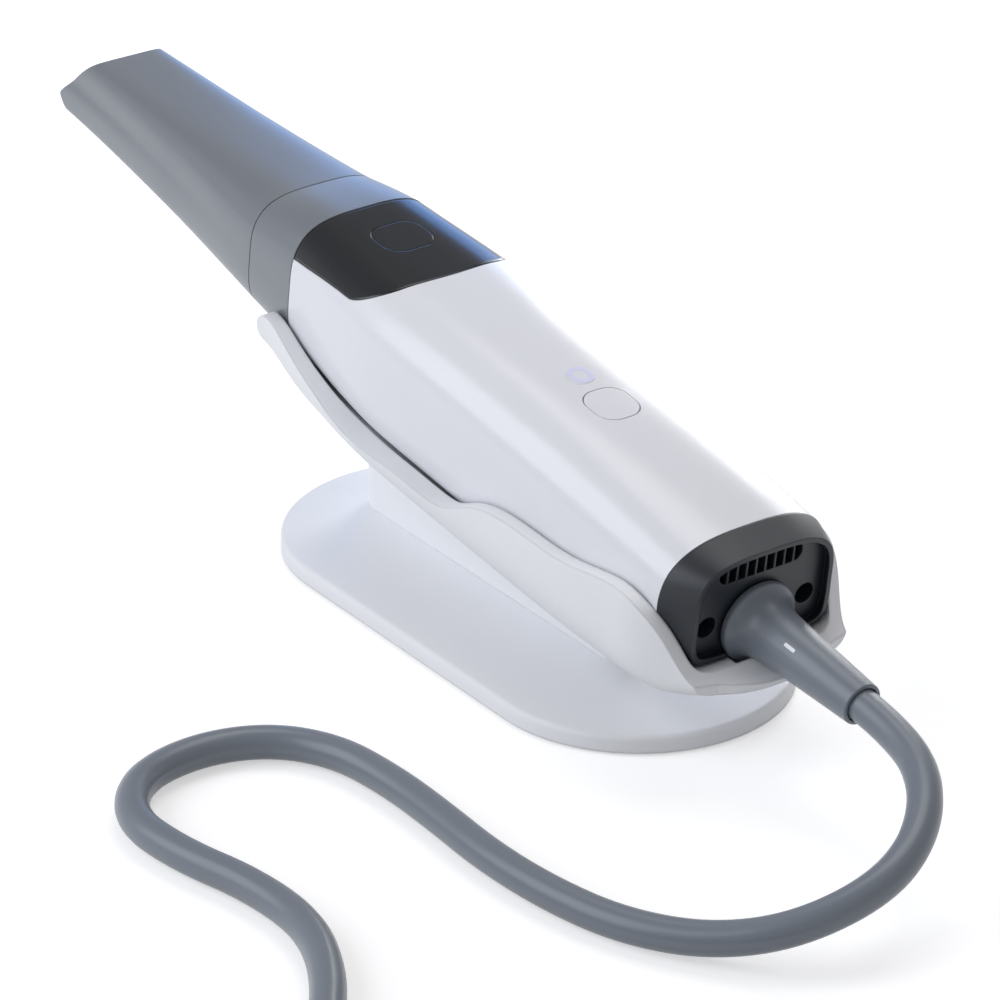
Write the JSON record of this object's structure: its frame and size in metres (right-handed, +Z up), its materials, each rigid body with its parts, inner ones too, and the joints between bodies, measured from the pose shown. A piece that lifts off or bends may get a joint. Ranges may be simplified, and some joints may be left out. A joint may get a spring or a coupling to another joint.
{
  "type": "intraoral scanner",
  "caption": "Handheld dental scanner with a slip-on mirror tip and cable, resting in a saddle cradle on a flat oval base.",
  "frame": {"origin": "middle of the base pad's underside", "axes": "+Z up from the table, +X the way the tip points, +Y the side that the cable is laid on"},
  "size_m": [0.3998, 0.2032, 0.0737],
  "materials": {
    "grey_polymer": "satin moulded grey polymer",
    "white_polymer": "polished white moulded polymer",
    "black_gloss": "polished black polymer",
    "cap_polymer": "fine-grained dark grey polymer",
    "cable_jacket": "satin grey elastomer",
    "tie_strap": "black woven strap",
    "cradle_polymer": "satin white moulded polymer",
    "soft_pad": "soft silicone",
    "steel": "plated steel",
    "mirror": "front-surface mirror",
    "clear_glass": "coated flat glass",
    "inner_black": "matt black moulded polymer",
    "alloy": "die-cast light alloy",
    "board": "green laminate circuit board",
    "brass": "turned brass",
    "light_pipe": "translucent light pipe"
  },
  "bodies": {
    "scanner": {"nose_collar": "grey_polymer", "optics_neck": "inner_black", "front_window": "clear_glass", "housing": "white_polymer", "bottom_cover": "white_polymer", "top_panel": "black_gloss", "status_light": "light_pipe", "rear_cap": "cap_polymer", "cap_screws": "steel", "cover_screws": "steel", "cradle_screws": "steel", "cable_boot": "cable_jacket", "cable": "cable_jacket", "cable_tail": "cable_jacket", "cable_coil": "cable_jacket", "coil_tie": "tie_strap", "cable_connector": "steel", "chassis": "alloy", "heat_sink": "alloy", "fan_frame": "inner_black", "main_board": "board", "key_board": "board", "board_spacers": "brass", "tact_switches": "inner_black", "projector_module": "inner_black", "camera_module": "inner_black", "cradle": "cradle_polymer", "base_plate": "cradle_polymer", "base_weight": "steel", "base_pad": "soft_pad", "plug_body": "inner_black", "plug_shell": "steel", "plug_tongue": "inner_black"},
    "tip": {"tip_sleeve": "grey_polymer", "tip_mirror": "mirror"},
    "scan_key": {"scan_button": "black_gloss"},
    "function_key": {"function_button": "white_polymer"},
    "fan": {"fan_rotor": "inner_black"}
  },
  "joints": [
    {"name": "tip_slide", "type": "slide", "parent": "scanner", "child": "tip", "axis": [0.9914, 0, 0.1305], "range_m": [0, 0.045]},
    {"name": "scan_press", "type": "slide", "parent": "scanner", "child": "scan_key", "axis": [0.1305, 0, -0.9914], "range_m": [0, 0.0005], "stiffness_N_per_m": 3000},
    {"name": "function_press", "type": "slide", "parent": "scanner", "child": "function_key", "axis": [0.1305, 0, -0.9914], "range_m": [0, 0.0005], "stiffness_N_per_m": 3000},
    {"name": "fan_spin", "type": "hinge", "parent": "scanner", "child": "fan", "pos_m": [-0.05573, 0, 0.03671], "axis": [0.9914, 0, 0.1305], "continuous": true}
  ]
}
